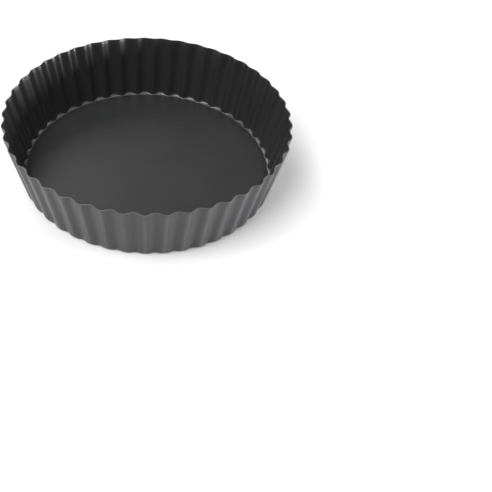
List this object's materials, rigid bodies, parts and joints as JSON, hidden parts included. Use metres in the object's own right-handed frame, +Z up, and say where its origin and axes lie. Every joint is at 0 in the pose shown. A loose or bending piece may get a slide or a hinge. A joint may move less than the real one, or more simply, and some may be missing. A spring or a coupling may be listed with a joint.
{
  "type": "tart pan",
  "caption": "Deep round tart pan with a flared, fluted steel wall and a loose flat base that rests on an inward flange and lifts out.",
  "frame": {"origin": "centre of the pan, on the surface that it stands on", "axes": "+Z up along the pan's round axis; +X and +Y level, and equal on a round pan"},
  "size_m": [0.2284, 0.2285, 0.0524],
  "materials": {
    "ring_coating": "satin grey non-stick coating on pressed sheet steel",
    "base_coating": "satin charcoal non-stick coating on flat sheet steel"
  },
  "bodies": {
    "ring": {"fluted_ring": "ring_coating"},
    "base": {"base_disc": "base_coating"}
  },
  "joints": [
    {"name": "base_lift", "type": "slide", "parent": "ring", "child": "base", "axis": [0, 0, 1], "range_m": [0, 0.1]}
  ]
}
